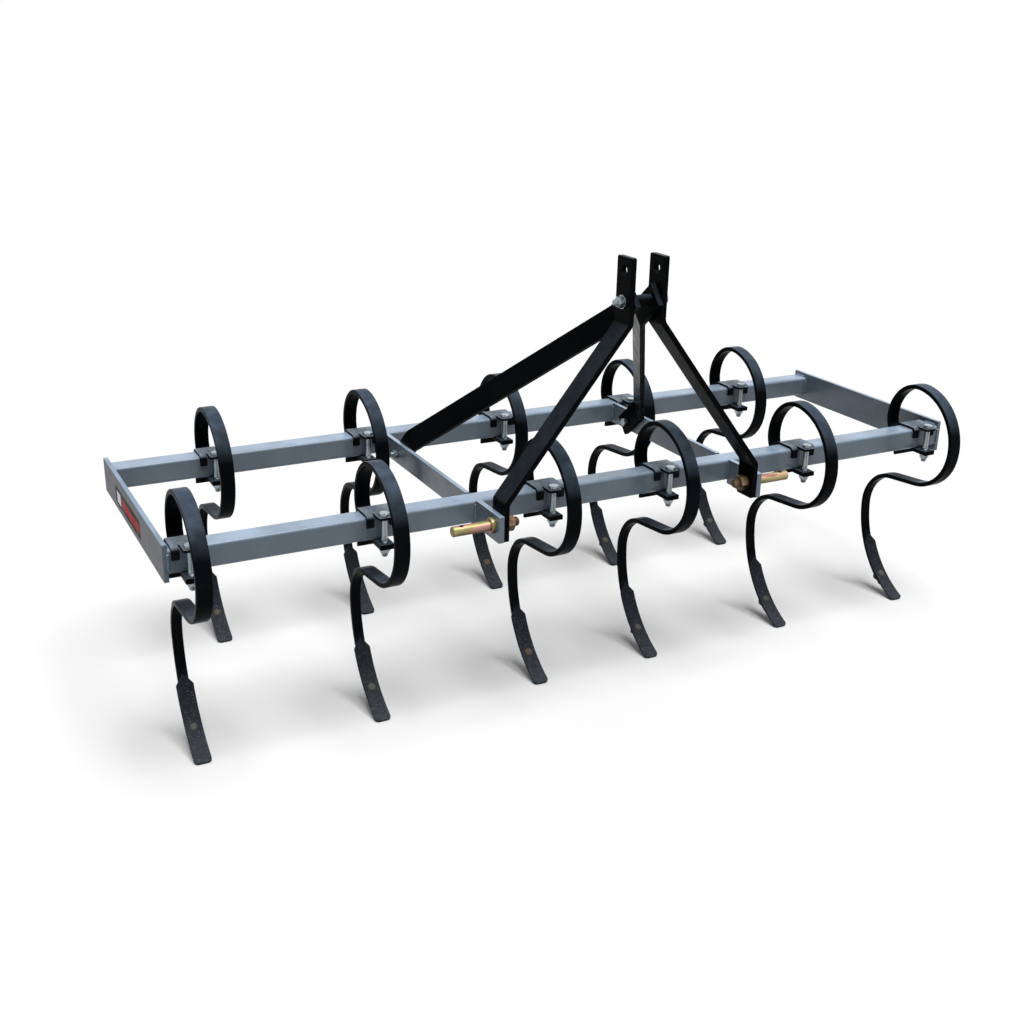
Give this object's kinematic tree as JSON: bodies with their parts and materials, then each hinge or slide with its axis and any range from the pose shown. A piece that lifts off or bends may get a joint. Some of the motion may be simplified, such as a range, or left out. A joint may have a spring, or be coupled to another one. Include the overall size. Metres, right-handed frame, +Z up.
{
  "type": "field cultivator",
  "caption": "Hitch-mounted field cultivator: square toolbars, an A-frame mast and staggered rows of looped spring tines with reversible points.",
  "frame": {"origin": "on the ground under the middle of the machine's box, at the height of the points' tips", "axes": "+X along the toolbars to the right as seen from the tractor, +Y back from the hitch, +Z up"},
  "size_m": [1.966, 0.797, 0.9832],
  "materials": {
    "frame_paint": "satin blue-grey paint",
    "black_paint": "gloss black paint",
    "spring_black": "gloss black paint on spring steel",
    "point_steel": "dark blue-grey forged steel, dusty",
    "bolt_steel": "dull steel, some heads rusty",
    "zinc": "bright zinc plate",
    "yellow_zinc": "yellow zinc plate"
  },
  "bodies": {
    "root": {"front_toolbar": "frame_paint", "rear_toolbar": "frame_paint", "end_plate_left": "frame_paint", "end_plate_right": "frame_paint", "cross_plate_left": "frame_paint", "cross_plate_right": "frame_paint", "lug_left": "frame_paint", "lug_right": "frame_paint", "mast_strap_left": "black_paint", "mast_strap_right": "black_paint", "brace_left": "black_paint", "brace_right": "black_paint", "mast_spacer": "black_paint", "mast_bolt": "zinc", "brace_bolts": "zinc", "hitch_pin_left": "yellow_zinc", "hitch_pin_right": "yellow_zinc", "tine_f1": "spring_black", "tine_f2": "spring_black", "tine_f3": "spring_black", "tine_f4": "spring_black", "tine_f5": "spring_black", "tine_f6": "spring_black", "tine_r1": "spring_black", "tine_r2": "spring_black", "tine_r3": "spring_black", "tine_r4": "spring_black", "tine_r5": "spring_black", "point_f1": "point_steel", "point_f2": "point_steel", "point_f3": "point_steel", "point_f4": "point_steel", "point_f5": "point_steel", "point_f6": "point_steel", "point_r1": "point_steel", "point_r2": "point_steel", "point_r3": "point_steel", "point_r4": "point_steel", "point_r5": "point_steel", "clamp_f1": "black_paint", "clamp_f2": "black_paint", "clamp_f3": "black_paint", "clamp_f4": "black_paint", "clamp_f5": "black_paint", "clamp_f6": "black_paint", "clamp_r1": "black_paint", "clamp_r2": "black_paint", "clamp_r3": "black_paint", "clamp_r4": "black_paint", "clamp_r5": "black_paint", "clamp_bolts": "zinc", "point_bolts": "bolt_steel"}
  },
  "joints": []
}
